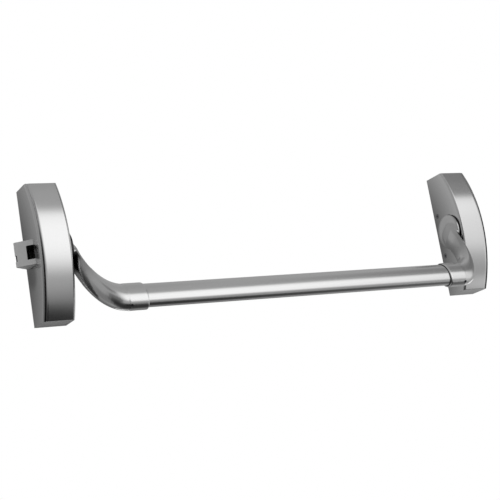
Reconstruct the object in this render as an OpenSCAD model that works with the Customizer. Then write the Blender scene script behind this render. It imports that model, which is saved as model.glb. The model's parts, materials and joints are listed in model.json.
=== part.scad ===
// Panic exit bar: an oval push tube between two bow-fronted cases on a door.
// X runs along the bar, the door's face is the plane Y = 0, the room is at -Y, and Z is up.
// The origin is the middle of the latch case's back face.

/* [Cases] */
// Height of each case
case_h = 193; // [175:1:220]
// Width of each case along the bar
case_w = 45.5; // [44:0.5:56]
// Depth of a case at its top and bottom ends
end_depth = 39.5; // [34:0.5:46]
// Depth of a case at mid height
mid_depth = 66; // [65:0.5:76]
// Distance between the middles of the two cases
case_pitch = 692; // [450:1:1150]
// Wall thickness of a housing
housing_wall = 3.5; // [3.1:0.1:4.2]
// Thickness of the bowed front cover
cover_t = 2; // [1.2:0.1:3]
// Groove between the front cover and each housing rim
cover_gap = 0.5; // [0.3:0.1:1]
// Set-back of the front cover behind the housing rims
cover_inset = 0.3; // [0:0.1:1]
// Width of the rim beside the front cover on the outer flank
outer_rim = 2.4; // [1.5:0.1:2.8]
// Width of the rim beside the front cover on the inner flank
inner_rim = 2.9; // [1.5:0.1:3]

/* [Base plates] */
// Thickness of a base plate
plate_t = 3; // [2:0.1:4]
// Hole spacing along the bar
fix_pitch_x = 22; // [16:0.5:26]
// Hole spacing up the door
fix_pitch_z = 150; // [120:1:156]
// Diameter of the door screw holes
fix_hole_d = 6; // [4:0.1:7]
// Height of the flank screws above and below mid height
flank_screw_z = 33; // [33:0.5:40]
// Distance of the flank screws from the door
flank_screw_y = 9.3; // [8.5:0.1:11]
// Diameter of the flank and chassis screws
screw_d = 4; // [3:0.1:4.5]

/* [Pivots] */
// Distance of the pivot axis from the door
hub_depth = 34.5; // [33.5:0.1:35]
// Diameter of the round hub on each arm
hub_d = 53.6; // [50:0.1:54]
// Stand-out of the hub from the housing's flank
hub_proud = 4.5; // [3:0.1:7]
// Depth of the round recess that the hub sits in
hub_recess = 2; // [1:0.1:2.2]
// Gap round the hub in its recess
hub_gap = 0.9; // [0.5:0.1:1.2]
// Diameter of an axle
axle_d = 12; // [9:0.1:12.5]
// Wall of a bearing bush
bush_wall = 1.5; // [1:0.1:1.8]
// Radial clearance of a turning fit
run_gap = 0.05; // [0.02:0.01:0.1]
// Thickness of a chassis wall that holds a bush
bearing_t = 4.75; // [4:0.05:5]
// Angle through which the bar is pressed
press_angle = 25; // [20:0.5:28]

/* [Push bar] */
// Distance from the pivot axis to the middle of the tube
arm_reach = 104.9; // [95:0.1:120]
// Angle of the arms below the horizontal at rest
arm_drop = 52.3; // [47:0.1:56]
// Larger outside size of the oval tube
tube_major = 40; // [34:0.5:44]
// Smaller outside size of the oval tube
tube_minor = 25; // [22:0.5:28]
// Radius of the oval's narrow ends
tube_end_r = 9; // [7.5:0.1:10]
// Wall of the tube
tube_wall = 1.5; // [1:0.1:2.5]
// Thickness of the plastic sleeve between tube and socket
sleeve_t = 1; // [0.6:0.1:1.3]
// Mean wall of a socket round its sleeve
socket_wall = 1.5; // [1.3:0.1:2.5]
// Shift of a socket's outside along the arm, which thickens the wall under the grub screw
socket_shift = 0.7; // [0:0.1:0.8]
// Distance of a socket's mouth from the middle of its case
socket_end = 100; // [92:0.5:120]
// Straight length of a socket
socket_len = 26; // [22:0.5:34]
// Depth of a socket's bore
socket_depth = 34; // [29:0.5:35]
// Set-back of the sleeve behind the socket's mouth
sleeve_inset = 0.8; // [0.3:0.1:2]
// Distance of the grub screw from the socket's mouth
grub_inset = 25; // [15:0.5:26]
// Turn of the grub screw round the oval's end, from the arm's line towards the room
grub_turn = 15; // [0:1:25]
// Diameter of the grub screws
grub_d = 5; // [4:0.1:6]

/* [Arm blade] */
// Distance from the pivot axis at which the blade leaves the hub
blade_start = 12.3; // [8:0.1:16]
// Height of the blade's middle line above the hub's face there
blade_lift = 3.25; // [2:0.05:5]
// Half width of the blade at the hub
blade_half_w = 17.8; // [15:0.1:20]
// Half thickness of the blade at the hub
blade_half_t = 5.3; // [4:0.1:6.5]
// Straight pull of the inner edge's curve away from the hub
inner_pull_hub = 66; // [58:0.5:70]
// Straight pull of the inner edge's curve into the socket
inner_pull_socket = 8.5; // [6:0.5:16]
// Straight pull of the outer edge's curve away from the hub
outer_pull_hub = 95; // [88:0.5:100]
// Straight pull of the outer edge's curve into the socket
outer_pull_socket = 21; // [14:0.5:24]

/* [Latch] */
// Height of the latch bolt
latch_h = 34.4; // [32:0.1:36]
// Stand-out of the latch bolt at rest, and its travel
latch_throw = 22; // [14:0.5:22]
// Height of the window between the two prongs
window_h = 19.2; // [18.8:0.1:20.4]
// Length of the window outside the flank
window_len = 8.6; // [8.6:0.1:12]
// Distance of the bolt's front face from the door
latch_front = 41.8; // [40:0.1:43]
// Distance of the bolt's back face from the door
latch_back = 11; // [10:0.1:14]
// Distance of the nose from the door
nose_depth = 25.5; // [22:0.1:29]
// Width of the flat on the nose
nose_flat = 2; // [1:0.1:4]
// Clearance round the sliding bolt
slide_gap = 0.4; // [0.3:0.05:0.6]

/* [Linkage] */
// Swing of the rocker while the bar is pressed
rocker_swing = 53; // [48:0.5:60]
// Length of the rocker's short arm
rocker_in = 9; // [8.5:0.1:9.5]
// Radius of the short arm's round end
rocker_tip_r = 2.2; // [1.6:0.1:2.6]
// Width of the rocker's long arm
rocker_w = 6; // [4.5:0.1:6.5]
// Thickness of the rocker
rocker_t = 3.5; // [2.5:0.1:4]
// Diameter of the rocker's pivot pin
rocker_pin_d = 6; // [4.5:0.1:6.5]
// Diameter of the pin that draws the bolt
drive_pin_d = 5; // [4:0.1:5.5]
// Clearance at the linkage's working faces
link_gap = 0.4; // [0.3:0.05:0.6]
// Width of the crank's lever
lever_w = 3.6; // [3.2:0.1:4]
// Height of the crank's lever
lever_h = 6; // [4:0.1:6.2]

/* [Springs] */
// Wire diameter of the latch springs
latch_wire = 0.8; // [0.6:0.05:0.9]
// Mean radius of the latch springs
latch_coil_r = 1.95; // [1.9:0.05:2.1]
// Turns of each latch spring
latch_turns = 10; // [6:1:14]
// Wire diameter of the return spring
return_wire = 2.2; // [1.5:0.1:2.6]
// Mean radius of the return spring
return_coil_r = 9.5; // [9:0.1:11]
// Turns of the return spring
return_turns = 5; // [3:1:6]

/* [Hidden] */
$fn = 64;

// Cuts run past their faces by this much
eps = 0.5;

// Bow of the case fronts: one arc through both ends and the middle
bow_rise = mid_depth - end_depth;
bow_r = (pow(case_h / 2, 2) + pow(bow_rise, 2)) / (2 * bow_rise);
bow_y = bow_r - mid_depth;

// Inside of a case
flank_x = case_w / 2;
inner_x = flank_x - housing_wall;
inner_h = case_h - 2 * housing_wall;
cover_r = bow_r - cover_inset;
seat_r = cover_r - cover_t;
cover_x0 = -flank_x + outer_rim + cover_gap;
cover_x1 = flank_x - inner_rim - cover_gap;
clip_depth = 10;
clip_t = 2;
tongue_gap = 1;

// Base plate, its tabs and screws
plate_gap = 0.3;
plate_half_w = inner_x - plate_gap;
plate_half_h = inner_h / 2 - plate_gap;
tab_t = 3;
tab_h = 10;
tab_rim = 5;
tab_y = flank_screw_y + tab_rim;
screw_r = screw_d / 2;
screw_pass_gap = 0.2;
head_r = screw_d * 0.95;
head_h = head_r - screw_r;
key_r = screw_d * 0.36;
key_depth = screw_d * 0.42;
chassis_screw_x = 10;
foot_half_h = flank_screw_z - tab_h / 2 - plate_gap;
screw_rim = 1;
chassis_screw_z = foot_half_h - head_r - screw_rim;

// Axle and bearings
axle_r = axle_d / 2;
bush_r = axle_r + bush_wall;
hub_r = hub_d / 2;
hub_back_gap = 0.4;
hub_face_x = flank_x + hub_proud;
hub_back_x = flank_x - hub_recess + hub_back_gap;
axle_seat = 2;
axle_tip_x = hub_face_x - axle_seat;
clip_ring_t = 0.8;
clip_ring_w = 2.5;
clip_groove = 1;
axle_tail = 2;

// Chassis: a foot on the base plate and walls that hold the bushes
chassis_gap = 0.5;
wall_x1 = inner_x - chassis_gap;
wall_x0 = wall_x1 - bearing_t;
wall_step = 1.5;
wall_half_h = foot_half_h - wall_step;
wall_rim = 8;
wall_front = hub_depth + bush_r + wall_rim;
foot_t = 5;
foot_y = plate_t + foot_t;
guide_t = 3;
guide_z = latch_h / 2 + slide_gap;

// Latch bolt
tip_x = -flank_x - latch_throw;
window_x = -flank_x - window_len;
tail_gap = 1;
tail_x = wall_x0 - latch_throw - tail_gap;
prong_z = (latch_h + window_h) / 4;
prong_y = (latch_front + latch_back) / 2;
coil_gap = 0.35;
seat_gap = 0.1;
spring_bore_r = latch_coil_r + latch_wire / 2 + coil_gap;
spring_bore_depth = 18;
spring_x0 = tail_x - spring_bore_depth;
guide_rod_gap = 1;
guide_rod_r = latch_coil_r - latch_wire / 2 - coil_gap;
lug_t = 8;
lug_wall = 2.1;
lug_end_wall = 2.5;
lug_half_w = drive_pin_d / 2 + link_gap + lug_wall;
back_bevel_angle = 35;
back_bevel = (nose_depth - nose_flat / 2 - latch_back) / tan(back_bevel_angle);
notch_depth = 1.6;
notch_h = 8;
notch_z = -5.5;
notch_over = 1;
notch_half_w = nose_flat / 2 + notch_over;

// Linkage: the crank turns with the axle, the rocker swings on a pin across it
rocker_x = (wall_x0 - inner_x) / 2;
rocker_out = latch_throw / (2 * sin(rocker_swing / 2));
crank_reach = rocker_in * sin(rocker_swing / 2) / sin(press_angle / 2);
rocker_y = hub_depth + crank_reach;
rocker_hub_wall = 2.4;
rocker_eye_wall = 1.8;
rocker_hub_r = rocker_pin_d / 2 + rocker_hub_wall;
rocker_eye_r = drive_pin_d / 2 + rocker_eye_wall;
drive_pin_z = rocker_out * cos(rocker_swing / 2);
slot_play = 1;
lug_top = rocker_out + drive_pin_d / 2 + slot_play + lug_end_wall;
post_t = 7;
post_half_h = window_h / 2 - slide_gap;
post_front = rocker_y - rocker_t / 2 - link_gap;
post_x0 = rocker_x - post_t / 2;
post_x1 = rocker_x + post_t / 2;
axle_end_gap = 0.8;
post_axle_end = window_x + latch_throw + axle_end_gap;
rocker_pin_rim = 1;
rocker_pin_y = hub_depth + bush_r + rocker_pin_rim;
crank_r = post_half_h;
crank_side_gap = 0.5;
lever_shift = 0.8;
lever_over = 2;
lever_x = rocker_x + rocker_in + lever_shift;
lever_len = crank_reach + rocker_t / 2 + lever_over;
roll_pin_r = 1.5;
roll_pin_sink = 0.2;
crank_pin_shift = 3;
drive_pin_sink = 1;
pin_end = 2.2;

// Return lever and spring of the idle case
idle_wall_inset = 8.5;
idle_wall_x1 = -inner_x + idle_wall_inset;
idle_wall_x0 = idle_wall_x1 - bearing_t;
lever_hub_wall = 3;
lever_hub_r = axle_r + lever_hub_wall;
lever_hub_x0 = 6;
lever_top = 22;
lever_half_t = 4;
buffer_t = 4;
buffer_gap = 0.2;
buffer_h = 9;
spring_gap = 0.8;
return_x0 = idle_wall_x1 + return_wire / 2 + spring_gap;
return_x1 = lever_hub_x0 - return_wire / 2 - spring_gap;
return_leg = 10;

// Push bar: an oval of four arcs, its long axis on the line from the pivot to the tube
oval_c = tube_major / 2 - tube_end_r;
oval_k = tube_minor / 2 - tube_end_r;
oval_h = (pow(oval_c, 2) - pow(oval_k, 2)) / (2 * oval_k);
oval_side_r = oval_h + tube_minor / 2;
socket_grow = sleeve_t + socket_wall;
socket_reach = arm_reach + socket_shift;
socket_x0 = socket_end - socket_len;
bore_x0 = socket_end - socket_depth;

// Blade: it starts inside the hub and ends a little inside the socket's outline
blade_x0 = hub_face_x + blade_lift;
blade_shoulder = 0.3;
blade_end_w = tube_minor / 2 + socket_grow - blade_shoulder;
blade_end_t = tube_major / 2 + socket_grow - blade_shoulder;
root_reach = -12;
root_rim = 0.55;
blade_w_ease = 0.42;
outer_lag = 1.6;
blade_steps = 16;
blade_sides = 32;

// Grub screw: on the oval's long axis, from inside the socket's surface to the tube
grub_x = socket_end - grub_inset;
grub_turn_reach = arm_reach + tube_major / 2 - tube_end_r;
grub_gap = 0.05;
grub_key_r = grub_d * 0.29;

// Colours
satin_grey = "#a4a7a9";
satin_light = "#d8dadb";
cast_silver = "#bfc1c2";
zinc = "#b4b5ae";
steel = "#8f9498";
bronze = "#a9824c";
black = "#1d1e20";

// Shared shapes

// Round bar along X
module xrod(x0, x1, r) {
    translate([x0, 0, 0]) rotate([0, 90, 0]) cylinder(h = x1 - x0, r = r);
}

// Round bar along Y, from the room side y0 to the door side y1
module yrod(y0, y1, r) {
    translate([0, y0, 0]) rotate([-90, 0, 0]) cylinder(h = y1 - y0, r = r);
}

// Block between two corners
module block(a, b) {
    translate(a) cube(b - a);
}

// Everything on the door side of the bowed arc of radius r, between x0 and x1
module bow(x0, x1, r) {
    translate([0, bow_y, 0]) xrod(x0, x1, r, $fn = 180);
}

// Moves its children onto the pivot axis
module at_pivot() {
    translate([0, -hub_depth, 0]) children();
}

// Makes the idle side's copy of a latch side shape
module idle_side() {
    translate([case_pitch, 0, 0]) mirror([1, 0, 0]) children();
}

// Oval of four arcs, grown outwards by g
module oval(g) {
    side_x = oval_c * oval_side_r / (oval_side_r - tube_end_r);
    intersection() {
        translate([0, -oval_h]) circle(r = oval_side_r + g, $fn = 120);
        translate([0, oval_h]) circle(r = oval_side_r + g, $fn = 120);
        square([2 * (side_x + g * oval_c / (oval_side_r - tube_end_r)), tube_minor + 2 * g], center = true);
    }
    for (s = [-1, 1]) translate([s * oval_c, 0]) circle(r = tube_end_r + g, $fn = 96);
}

// Oval bar along the push tube's line, or at another reach
module oval_bar(x0, x1, g, reach = arm_reach) {
    translate(arm_point(reach, x0, 0)) rotate([arm_drop - 90, 0, 0]) rotate([0, 90, 0])
        linear_extrude(height = x1 - x0) oval(g);
}

// Solid through a list of rings that all have the same count of points
module loft(rings) {
    m = len(rings[0]);
    last = (len(rings) - 1) * m;
    sides = [for (i = [0 : len(rings) - 2], j = [0 : m - 1])
        let (a = i * m + j, b = i * m + (j + 1) % m)
        each [[a, b + m, b], [a, a + m, b + m]]];
    start_cap = [for (j = [1 : m - 2]) [0, j, j + 1]];
    end_cap = [for (j = [1 : m - 2]) [last, last + j + 1, last + j]];
    polyhedron(points = [for (r = rings) each r], faces = concat(sides, start_cap, end_cap));
}

function unit(v) = v / norm(v);

// Ring of a wire at point i of a path whose tangents stay clear of the X axis
function wire_ring(path, i, r, sides) =
    let (t = unit(path[min(i + 1, len(path) - 1)] - path[max(i - 1, 0)]))
    let (n = unit([1, 0, 0] - t[0] * t), b = cross(t, n))
    [for (j = [0 : sides - 1]) path[i] + r * (cos(360 * j / sides) * n + sin(360 * j / sides) * b)];

// Round wire along a path
wire_sides = 6;
module wire(path, r) {
    loft([for (i = [0 : len(path) - 1]) wire_ring(path, i, r, wire_sides)]);
}

// Helix about the X axis
coil_steps = 8;
function helix(x0, x1, r, turns) = [for (i = [0 : coil_steps * turns])
    let (a = 360 * i / coil_steps)
    [x0 + (x1 - x0) * i / (coil_steps * turns), r * cos(a), r * sin(a)]];

// Point of the arm: reach along the arm, x along the bar, w across the arm
function arm_point(reach, x, w) = [x,
    -hub_depth - reach * cos(arm_drop) - w * sin(arm_drop),
    -reach * sin(arm_drop) + w * cos(arm_drop)];

function bezier(p, t) =
    pow(1 - t, 3) * p[0] + 3 * pow(1 - t, 2) * t * p[1] + 3 * (1 - t) * t * t * p[2] + pow(t, 3) * p[3];

function ease(t) = t * t * (3 - 2 * t);

// Edges of the blade in the arm's plane, as reach along the arm and x along the bar
inner_edge = [
    [blade_start, blade_x0 + blade_half_t],
    [blade_start + inner_pull_hub, blade_x0 + blade_half_t],
    [socket_reach - blade_end_t, socket_x0 - inner_pull_socket],
    [socket_reach - blade_end_t, socket_x0]
];
outer_edge = [
    [blade_start, blade_x0 - blade_half_t],
    [blade_start + outer_pull_hub, blade_x0 - blade_half_t],
    [socket_reach + blade_end_t, socket_x0 - outer_pull_socket],
    [socket_reach + blade_end_t, socket_x0]
];

// Oval ring across the blade, from inner point a to outer point b, half width w
function blade_ring(a, b, w) = [for (j = [0 : blade_sides - 1])
    let (turn = 360 * j / blade_sides, p = (a + b) / 2 + (b - a) / 2 * sin(turn))
    arm_point(p[0], p[1], w * cos(turn))];

function blade_ring_at(t) = blade_ring(
    bezier(inner_edge, t),
    bezier(outer_edge, pow(t, outer_lag)),
    blade_half_w + (blade_end_w - blade_half_w) * pow(ease(t), blade_w_ease));

// First ring of the blade, inside the hub
blade_root = blade_ring(
    [root_reach, hub_face_x - root_rim],
    [root_reach, hub_back_x + root_rim],
    blade_half_w);

// Countersunk screw along X, its head flush at x = 0 and its shank towards -X
module flat_screw(length) {
    difference() {
        union() {
            xrod(-length, 0, screw_r);
            translate([-head_h, 0, 0]) rotate([0, 90, 0]) cylinder(h = head_h, r1 = screw_r, r2 = head_r);
        }
        translate([-key_depth, 0, 0]) rotate([0, 90, 0]) cylinder(h = key_depth + eps, r = key_r, $fn = 6);
    }
}

// Room for that screw's head and shank, with a radial gap round the shank
module flat_screw_room(length, gap) {
    xrod(-length, eps, screw_r + gap);
    translate([-head_h, 0, 0]) rotate([0, 90, 0]) cylinder(h = head_h, r1 = screw_r, r2 = head_r);
    xrod(0, eps, head_r);
}

// Places of the two flank screws
module at_flank_screws(x) {
    for (s = [-1, 1]) translate([x, -flank_screw_y, s * flank_screw_z]) children();
}

// Places of the four chassis screws, which come from the door side
module at_chassis_screws() {
    for (sx = [-1, 1], sz = [-1, 1])
        translate([sx * chassis_screw_x, 0, sz * chassis_screw_z]) rotate([0, 0, 90]) children();
}

// Split ring in an axle's groove
module axle_ring(x) {
    at_pivot() difference() {
        xrod(x, x + clip_ring_t, axle_r - clip_groove + clip_ring_w);
        xrod(x - eps, x + clip_ring_t + eps, axle_r - clip_groove);
        block([x - eps, 0, -axle_r / 2], [x + clip_ring_t + eps, axle_d, axle_r / 2]);
    }
}

// Case pieces, in the latch side's place

module base_plate() {
    difference() {
        union() {
            block([-plate_half_w, -plate_t, -plate_half_h], [plate_half_w, 0, plate_half_h]);
            for (s = [-1, 1])
                block([plate_half_w - tab_t, -tab_y, s * flank_screw_z - tab_h / 2],
                    [plate_half_w, -plate_t, s * flank_screw_z + tab_h / 2]);
        }
        for (sx = [-1, 1], sz = [-1, 1])
            translate([sx * fix_pitch_x / 2, 0, sz * fix_pitch_z / 2])
                yrod(-plate_t - eps, eps, fix_hole_d / 2);
        at_flank_screws(plate_half_w + eps) xrod(-tab_t - 2 * eps, 0, screw_r);
        at_chassis_screws() flat_screw_room(plate_t + eps, 0);
    }
}

// Ring-shaped housing: two flanks and two end walls, cut back in front to carry the cover between two rims
module housing() {
    difference() {
        intersection() {
            block([-flank_x, -mid_depth, -case_h / 2], [flank_x, 0, case_h / 2]);
            bow(-flank_x, flank_x, bow_r);
        }
        block([-inner_x, -mid_depth - eps, -inner_h / 2], [inner_x, eps, inner_h / 2]);
        difference() {
            block([-flank_x + outer_rim, -mid_depth - eps, -case_h / 2 - eps],
                [flank_x - inner_rim, 0, case_h / 2 + eps]);
            bow(-flank_x, flank_x, seat_r);
        }
        at_pivot() xrod(flank_x - hub_recess, flank_x + eps, hub_r + hub_gap);
        at_pivot() xrod(inner_x - eps, flank_x, axle_r + hub_gap);
        at_flank_screws(flank_x) flat_screw_room(housing_wall + eps, screw_pass_gap);
    }
}

// Bowed cover strip with a clip tongue behind each end wall
module front_cover() {
    difference() {
        intersection() {
            bow(cover_x0, cover_x1, cover_r);
            block([cover_x0, -mid_depth, -case_h / 2], [cover_x1, 0, case_h / 2]);
        }
        bow(-flank_x, flank_x, seat_r);
    }
    tongue_x = inner_x - tongue_gap;
    for (s = [-1, 1]) intersection() {
        block([-tongue_x, -mid_depth, s * (inner_h / 2 - plate_gap - clip_t / 2) - clip_t / 2],
            [tongue_x, clip_depth - end_depth, s * (inner_h / 2 - plate_gap - clip_t / 2) + clip_t / 2]);
        bow(cover_x0, cover_x1, seat_r + cover_t / 2);
    }
}

// Foot of a chassis, with its screw holes
module chassis_foot() {
    difference() {
        block([-wall_x1, -foot_y, -foot_half_h], [wall_x1, -plate_t, foot_half_h]);
        at_chassis_screws() xrod(-foot_y - eps, 0, screw_r);
    }
}

// Chassis wall with a seat for a bush
module bearing_wall(x0, x1) {
    difference() {
        block([x0, -wall_front, -wall_half_h], [x1, -foot_y, wall_half_h]);
        at_pivot() xrod(x0 - eps, x1 + eps, bush_r);
    }
}

// Bush of a chassis wall
module bush(x0, x1) {
    at_pivot() difference() {
        xrod(x0, x1, bush_r);
        xrod(x0 - eps, x1 + eps, axle_r + run_gap);
    }
}

// Axle with a ring groove at its far end
module axle(x0, ring_x) {
    at_pivot() difference() {
        xrod(x0, axle_tip_x, axle_r);
        difference() {
            xrod(ring_x, ring_x + clip_ring_t, axle_r + eps);
            xrod(ring_x - eps, ring_x + clip_ring_t + eps, axle_r - clip_groove);
        }
        children();
    }
}

// Cast arm: round hub, curved blade and oval socket
module arm() {
    difference() {
        union() {
            at_pivot() xrod(hub_back_x, hub_face_x, hub_r);
            loft(concat([blade_root], [for (i = [0 : blade_steps]) blade_ring_at(i / blade_steps)]));
            oval_bar(socket_x0 - eps, socket_end, socket_grow, socket_reach);
        }
        oval_bar(bore_x0, socket_end + eps, sleeve_t);
        at_pivot() xrod(hub_back_x - eps, axle_tip_x, axle_r);
        grub_hole();
    }
}

// Moves its children to the grub screw's axis, z = 0 at the tube and +Z outwards
module at_grub() {
    translate(arm_point(grub_turn_reach, grub_x, 0)) rotate([90 + arm_drop - grub_turn, 0, 0])
        translate([0, 0, tube_end_r]) children();
}

module grub_hole() {
    at_grub() translate([0, 0, -eps]) cylinder(h = 2 * socket_grow + eps, r = grub_d / 2);
}

module grub_screw() {
    at_grub() translate([0, 0, grub_gap]) difference() {
        cylinder(h = socket_grow, r = grub_d / 2);
        translate([0, 0, socket_grow / 2]) cylinder(h = socket_grow, r = grub_key_r, $fn = 6);
    }
}

module sleeve() {
    difference() {
        oval_bar(bore_x0, socket_end - sleeve_inset, sleeve_t);
        oval_bar(bore_x0 - eps, socket_end + eps, 0);
        grub_hole();
    }
}

// Nodes of the latch case

module latch_base_plate() {
    color(steel) base_plate();
}

module latch_housing() {
    color(satin_grey) difference() {
        housing();
        block([-flank_x - eps, -latch_front - slide_gap, -latch_h / 2 - slide_gap],
            [-inner_x + eps, -latch_back + slide_gap, latch_h / 2 + slide_gap]);
    }
}

module latch_front_cover() {
    color(satin_light) front_cover();
}

// Foot, bearing wall, bearing post between the prongs, and a guide above and below the bolt
module latch_chassis() {
    lug_back = latch_front - lug_t - slide_gap;
    color(zinc) {
        chassis_foot();
        difference() {
            bearing_wall(wall_x0, wall_x1);
            for (s = [-1, 1]) translate([0, -prong_y, s * prong_z])
                xrod(wall_x0 - eps, wall_x1 + eps, guide_rod_r);
        }
        difference() {
            block([post_x0, -post_front, -post_half_h], [post_x1, -foot_y, post_half_h]);
            at_pivot() xrod(post_x0 - eps, post_x1 + eps, bush_r);
            translate([rocker_x, 0, 0]) yrod(-post_front - eps, -rocker_pin_y, rocker_pin_d / 2);
        }
        block([-wall_x1, -lug_back, guide_z], [wall_x0, -foot_y, guide_z + guide_t]);
        block([-wall_x1, -latch_front, -guide_z - guide_t], [wall_x0, -foot_y, -guide_z]);
    }
}

module latch_bushes() {
    color(bronze) {
        bush(wall_x0, wall_x1);
        bush(post_x0, post_x1);
    }
}

module rocker_pin() {
    color(steel) translate([rocker_x, 0, 0]) difference() {
        yrod(-rocker_y - rocker_t / 2 - pin_end, -rocker_pin_y, rocker_pin_d / 2);
        difference() {
            yrod(-rocker_y - rocker_t / 2 - link_gap - clip_ring_t, -rocker_y - rocker_t / 2 - link_gap,
                rocker_pin_d / 2 + eps);
            yrod(-rocker_y - rocker_t, -rocker_y, rocker_pin_d / 2 - clip_groove);
        }
    }
}

module rocker_clip() {
    clip_y = -rocker_y - rocker_t / 2 - link_gap;
    color(steel) translate([rocker_x, 0, 0]) difference() {
        yrod(clip_y - clip_ring_t, clip_y, rocker_pin_d / 2 - clip_groove + clip_ring_w);
        yrod(clip_y - clip_ring_t - eps, clip_y + eps, rocker_pin_d / 2 - clip_groove);
        block([-rocker_pin_d / 4, clip_y - clip_ring_t - eps, 0],
            [rocker_pin_d / 4, clip_y + eps, rocker_pin_d]);
    }
}

module spring_guides() {
    color(steel) for (s = [-1, 1]) translate([0, -prong_y, s * prong_z])
        xrod(spring_x0 + latch_throw + guide_rod_gap, wall_x1, guide_rod_r);
}

module latch_springs() {
    seat = latch_wire / 2 + seat_gap;
    color(steel) for (s = [-1, 1]) translate([0, -prong_y, s * prong_z])
        wire(helix(spring_x0 + seat, wall_x0 - seat, latch_coil_r, latch_turns), latch_wire / 2);
}

module housing_screws() {
    length = housing_wall + plate_gap + tab_t;
    color(steel) {
        at_flank_screws(flank_x) flat_screw(length);
        idle_side() at_flank_screws(flank_x) flat_screw(length);
    }
}

module chassis_screws() {
    color(steel) {
        at_chassis_screws() flat_screw(foot_y);
        idle_side() at_chassis_screws() flat_screw(foot_y);
    }
}

// Nodes of the idle case

module idle_base_plate() {
    color(steel) idle_side() base_plate();
}

module idle_housing() {
    color(satin_grey) idle_side() housing();
}

module idle_front_cover() {
    color(satin_light) idle_side() front_cover();
}

// Foot, two bearing walls and the post that holds the stop buffer
module idle_chassis() {
    buffer_front = hub_depth - lever_half_t - buffer_gap - buffer_t;
    color(zinc) idle_side() {
        chassis_foot();
        bearing_wall(wall_x0, wall_x1);
        bearing_wall(idle_wall_x0, idle_wall_x1);
        block([lever_hub_x0, -buffer_front, lever_top - buffer_h], [wall_x0, -foot_y, lever_top]);
    }
}

module idle_bushes() {
    color(bronze) idle_side() {
        bush(wall_x0, wall_x1);
        bush(idle_wall_x0, idle_wall_x1);
    }
}

module stop_buffer() {
    back = hub_depth - lever_half_t - buffer_gap - buffer_t;
    color(black) idle_side()
        block([lever_hub_x0, -back - buffer_t, lever_top - buffer_h], [wall_x0, -back, lever_top]);
}

// Torsion spring round the axle, with a straight leg at each end
module return_spring() {
    coil = helix(return_x0, return_x1, return_coil_r, return_turns + 0.5);
    lower_leg = [return_x0, return_coil_r, -return_leg];
    upper_leg = [return_x1, -return_coil_r, -return_leg];
    color(steel) idle_side() at_pivot() wire(concat([lower_leg], coil, [upper_leg]), return_wire / 2);
}

// Nodes that turn with the bar

module latch_arm() {
    color(cast_silver) arm();
}

module idle_arm() {
    color(cast_silver) idle_side() arm();
}

module push_tube() {
    color(satin_light) difference() {
        oval_bar(bore_x0, case_pitch - bore_x0, 0);
        oval_bar(bore_x0 - eps, case_pitch - bore_x0 + eps, -tube_wall);
    }
}

module latch_sleeve() {
    color(black) sleeve();
}

module idle_sleeve() {
    color(black) idle_side() sleeve();
}

module socket_screws() {
    color(steel) {
        grub_screw();
        idle_side() grub_screw();
    }
}

module latch_axle() {
    color(steel) axle(post_axle_end, post_x0 - clip_ring_t - run_gap) crank_pin_hole();
}

module idle_axle() {
    ring_end = idle_wall_x0 - clip_ring_t;
    color(steel) idle_side() axle(ring_end - axle_tail, ring_end - run_gap) lever_pin_hole();
}

module axle_clips() {
    color(steel) {
        axle_ring(post_x0 - clip_ring_t - run_gap);
        idle_side() axle_ring(idle_wall_x0 - clip_ring_t - run_gap);
    }
}

// Cross hole through the crank's hub and the axle, about the pivot axis
module crank_pin_hole() {
    translate([(post_x1 + wall_x0) / 2 + crank_pin_shift, 0, 0]) rotate([-press_angle / 2, 0, 0])
        cylinder(h = 2 * crank_r + eps, r = roll_pin_r, center = true);
}

module crank_pin() {
    color(steel) at_pivot() intersection() {
        crank_pin_hole();
        xrod(post_x1, wall_x0, crank_r - roll_pin_sink);
    }
}

// Crank on the latch axle: its lever lies over the rocker's short arm
module drive_crank() {
    lever_z = rocker_tip_r + link_gap + rocker_t / 2 * tan(press_angle / 2);
    color(zinc) at_pivot() difference() {
        union() {
            xrod(post_x1 + crank_side_gap, wall_x0 - crank_side_gap, crank_r);
            rotate([-press_angle / 2, 0, 0])
                block([lever_x - lever_w / 2, -lever_len, lever_z],
                    [lever_x + lever_w / 2, 0, lever_z + lever_h]);
        }
        xrod(post_x1, wall_x0, axle_r);
        crank_pin_hole();
    }
}

module lever_pin_hole() {
    translate([(lever_hub_x0 + wall_x0) / 2, 0, 0]) rotate([90, 0, 0])
        cylinder(h = 2 * lever_hub_r + eps, r = roll_pin_r, center = true);
}

// Lever on the idle axle that the return spring holds against the stop buffer
module return_lever() {
    color(zinc) idle_side() at_pivot() difference() {
        union() {
            xrod(lever_hub_x0, wall_x0 - crank_side_gap, lever_hub_r);
            block([lever_hub_x0, -lever_half_t, 0], [wall_x0 - crank_side_gap, lever_half_t, lever_top]);
        }
        xrod(lever_hub_x0 - eps, wall_x0, axle_r);
        lever_pin_hole();
    }
}

module lever_pin() {
    color(steel) idle_side() at_pivot() intersection() {
        lever_pin_hole();
        xrod(lever_hub_x0, wall_x0, lever_hub_r - roll_pin_sink);
    }
}

// Nodes of the rocker and the bolt

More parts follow.
